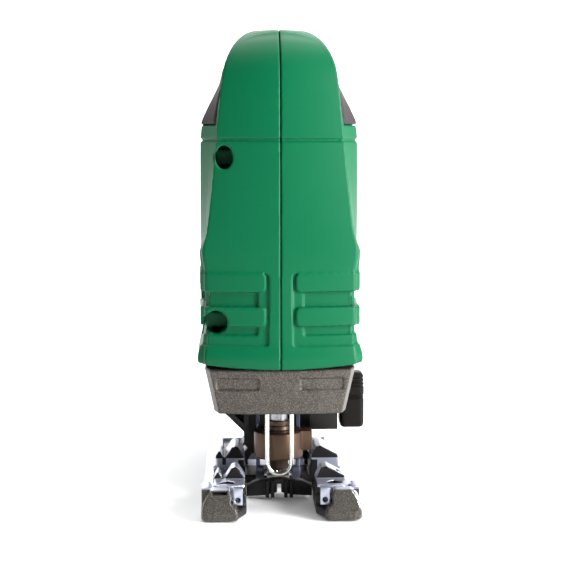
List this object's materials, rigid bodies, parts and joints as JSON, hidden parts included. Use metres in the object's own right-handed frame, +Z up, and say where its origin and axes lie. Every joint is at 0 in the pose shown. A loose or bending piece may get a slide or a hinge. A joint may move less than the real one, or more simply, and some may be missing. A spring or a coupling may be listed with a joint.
{
  "type": "jigsaw",
  "caption": "Top-handle jigsaw with split housing, cast gear housing, driven plunger and blade clamp, tilting sole plate and orbital selector; no blade or cord.",
  "frame": {"origin": "On the underside of the sole plate, at its middle in length and width, under the tilt axis.", "axes": "+X to the tool's left side, -Y towards the front where the blade cuts, +Z up"},
  "size_m": [0.0735, 0.229, 0.2015],
  "materials": {
    "green_plastic": "satin",
    "soft_rubber": "matte",
    "gunmetal_casting": "satin",
    "bright_casting": "satin",
    "plain_casting": "satin",
    "bright_steel": "satin",
    "gear_steel": "satin",
    "clamp_steel": "satin",
    "arm_steel": "satin",
    "black_plastic": "satin",
    "lamination": "matte",
    "copper_winding": "satin",
    "brass_metal": "satin",
    "carbon": "matte"
  },
  "bodies": {
    "housing": {"arm_pin": "bright_steel", "bevel_bolt": "bright_steel", "brush_holder_left": "brass_metal", "brush_holder_right": "brass_metal", "cable_bush": "soft_rubber", "carbon_brush_left": "carbon", "carbon_brush_right": "carbon", "fan_baffle": "black_plastic", "field_coils": "copper_winding", "front_bearing": "bright_steel", "gear_case_cover": "plain_casting", "gear_housing": "gunmetal_casting", "gear_spindle": "bright_steel", "handle_grip_left": "soft_rubber", "handle_grip_right": "soft_rubber", "housing_left": "green_plastic", "housing_right": "green_plastic", "housing_screw_1": "bright_steel", "housing_screw_2": "bright_steel", "housing_screw_3": "bright_steel", "housing_screw_4": "bright_steel", "housing_screw_5": "bright_steel", "housing_screw_6": "bright_steel", "plunger_bush_lower": "brass_metal", "plunger_bush_upper": "brass_metal", "plunger_seal": "soft_rubber", "rear_bearing": "bright_steel", "shoulder_pad_left": "soft_rubber", "shoulder_pad_right": "soft_rubber", "speed_module": "black_plastic", "stator_core": "lamination", "switch_body": "black_plastic", "under_guard": "black_plastic", "wire_guard": "bright_steel"},
    "armature": {"armature_shaft": "bright_steel", "pinion": "gear_steel", "armature_core": "lamination", "armature_windings": "copper_winding", "commutator": "copper_winding", "cooling_fan": "black_plastic"},
    "crank_gear": {"drive_gear": "gear_steel", "crank_pin": "bright_steel", "crank_roller": "bright_steel"},
    "plunger": {"plunger_rod": "bright_steel", "scotch_yoke": "gear_steel", "blade_clamp": "clamp_steel"},
    "clamp_sleeve": {"clamp_sleeve": "clamp_steel"},
    "roller_arm": {"roller_arm": "arm_steel", "roller_pin": "bright_steel"},
    "guide_roller": {"guide_roller": "bright_steel"},
    "orbital_knob": {"orbital_knob": "black_plastic", "orbital_cam": "bright_steel"},
    "trigger": {"trigger": "black_plastic"},
    "lock_button": {"lock_button": "black_plastic"},
    "speed_dial": {"speed_dial": "black_plastic"},
    "base": {"base_plate": "bright_casting", "bevel_bracket": "bright_steel", "splinter_guard": "black_plastic", "fence_nut_left": "bright_casting", "fence_nut_right": "bright_casting"}
  },
  "joints": [
    {"name": "armature_spin", "type": "hinge", "parent": "housing", "child": "armature", "pos_m": [0, 0, 0.094], "axis": [0, 1, 0], "continuous": true},
    {"name": "gear_spin", "type": "hinge", "parent": "housing", "child": "crank_gear", "pos_m": [0, 0, 0.12], "axis": [0, 1, 0], "continuous": true},
    {"name": "plunger_slide", "type": "slide", "parent": "housing", "child": "plunger", "axis": [0, 0, 1], "range_m": [0, 0.02]},
    {"name": "clamp_turn", "type": "hinge", "parent": "plunger", "child": "clamp_sleeve", "pos_m": [0, -0.023, 0.022], "axis": [0, 0, 1], "range_deg": [-40, 0], "stiffness_Nm_per_rad": 0.05, "springref_deg": 11.46},
    {"name": "arm_swing", "type": "hinge", "parent": "housing", "child": "roller_arm", "pos_m": [0, -0.006, 0.0365], "axis": [1, 0, 0], "range_deg": [0, 3], "stiffness_Nm_per_rad": 0.5, "springref_deg": -2.86},
    {"name": "roller_spin", "type": "hinge", "parent": "roller_arm", "child": "guide_roller", "pos_m": [0, -0.0148, 0.007], "axis": [1, 0, 0], "continuous": true},
    {"name": "knob_turn", "type": "hinge", "parent": "housing", "child": "orbital_knob", "pos_m": [0, -0.009, 0.045], "axis": [1, 0, 0], "range_deg": [0, 90]},
    {"name": "trigger_press", "type": "hinge", "parent": "housing", "child": "trigger", "pos_m": [0, 0.017, 0.171], "axis": [1, 0, 0], "range_deg": [0, 8], "stiffness_Nm_per_rad": 0.5, "springref_deg": -5.73},
    {"name": "lock_press", "type": "slide", "parent": "housing", "child": "lock_button", "axis": [-1, 0, 0], "range_m": [0, 0.003], "stiffness_N_per_m": 300, "springref_m": -0.002},
    {"name": "dial_turn", "type": "hinge", "parent": "housing", "child": "speed_dial", "pos_m": [0, 0.147, 0.148], "axis": [1, 0, 0], "range_deg": [0, 280]},
    {"name": "bevel_tilt", "type": "hinge", "parent": "housing", "child": "base", "pos_m": [0, 0, 0], "axis": [0, 1, 0], "range_deg": [-45, 45]}
  ],
  "couplings": [
    {"joint": "gear_spin", "follows": "armature_spin", "ratio": -0.2381}
  ]
}
